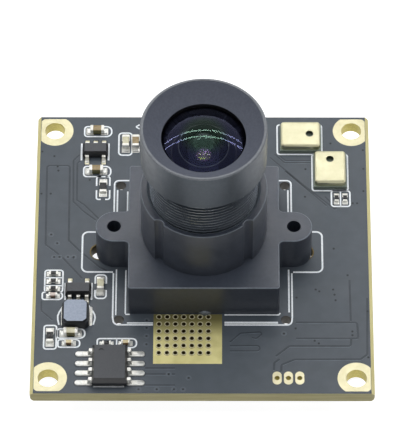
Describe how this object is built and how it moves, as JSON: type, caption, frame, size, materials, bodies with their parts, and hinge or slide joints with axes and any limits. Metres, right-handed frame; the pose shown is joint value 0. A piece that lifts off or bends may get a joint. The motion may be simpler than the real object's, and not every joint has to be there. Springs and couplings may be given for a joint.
{
  "type": "board camera module",
  "caption": "Square circuit board carrying a moulded lens holder with a screwed-in wide lens, two microphones and small electronic parts.",
  "frame": {"origin": "centre of the four corner holes on the board's underside", "axes": "+Z out of the lens, +X to the microphones' side, -Y the edge with the solder pads for a lead"},
  "size_m": [0.038, 0.0382, 0.0281],
  "materials": {
    "solder_mask_board": "satin",
    "gold_plate": "satin",
    "moulded_holder": "fine matte",
    "zinc_screws": "plated",
    "black_anodised": "black anodised",
    "coated_glass": "coated and polished",
    "filter_glass": "polished",
    "cover_glass": "polished",
    "sensor_ceramic": "matte",
    "silicon": "polished",
    "gold_can": "satin",
    "bare_laminate": "matte",
    "moulded_resin": "fine matte",
    "tinned_metal": "tinned",
    "ferrite": "matte",
    "winding_resin": "matte",
    "clear_glue": "gloss",
    "nickel_lid": "satin",
    "nylon": "satin",
    "capacitor_ceramic": "matte",
    "resistor_ceramic": "gloss"
  },
  "bodies": {
    "board": {"circuit_board": "solder_mask_board", "corner_pads": "gold_plate", "screw_slot_linings": "gold_plate", "lead_pads": "gold_plate", "heat_pad": "gold_plate", "lens_holder": "moulded_holder", "holder_screws": "zinc_screws", "sensor_glass": "cover_glass", "sensor_package": "sensor_ceramic", "sensor_die": "silicon", "upper_microphone_can": "gold_can", "lower_microphone_can": "gold_can", "upper_microphone_base": "bare_laminate", "lower_microphone_base": "bare_laminate", "memory_chip_body": "moulded_resin", "upper_regulator_body": "moulded_resin", "lower_regulator_body": "moulded_resin", "controller_body": "moulded_resin", "memory_chip_leads": "tinned_metal", "upper_regulator_leads": "tinned_metal", "lower_regulator_leads": "tinned_metal", "controller_leads": "tinned_metal", "inductor_terminals": "tinned_metal", "connector_pins": "tinned_metal", "connector_tabs": "tinned_metal", "inductor_core": "ferrite", "inductor_winding": "winding_resin", "glue_drop": "clear_glue", "crystal_can": "nickel_lid", "connector_housing": "nylon", "capacitor_1": "capacitor_ceramic", "capacitor_2": "capacitor_ceramic", "capacitor_3": "capacitor_ceramic", "capacitor_4": "capacitor_ceramic", "capacitor_5": "capacitor_ceramic", "capacitor_6": "capacitor_ceramic", "capacitor_7": "capacitor_ceramic", "capacitor_8": "capacitor_ceramic", "capacitor_9": "capacitor_ceramic", "resistor_1": "resistor_ceramic", "resistor_2": "resistor_ceramic", "resistor_3": "resistor_ceramic", "resistor_4": "resistor_ceramic", "resistor_5": "resistor_ceramic", "resistor_6": "resistor_ceramic", "resistor_7": "resistor_ceramic", "resistor_8": "resistor_ceramic"},
    "lens": {"lens_barrel": "black_anodised", "front_lens": "coated_glass", "front_retaining_ring": "black_anodised", "second_lens": "coated_glass", "lens_spacer": "black_anodised", "aperture_ring": "black_anodised", "third_lens": "coated_glass", "rear_spacer": "black_anodised", "rear_lens": "coated_glass", "rear_retaining_ring": "black_anodised", "infrared_filter": "filter_glass"}
  },
  "joints": [
    {"name": "focus_turn", "type": "hinge", "parent": "board", "child": "lens", "pos_m": [0.00015, 0, 0.01], "axis": [0, 0, 1], "range_deg": [-360, 360]}
  ]
}
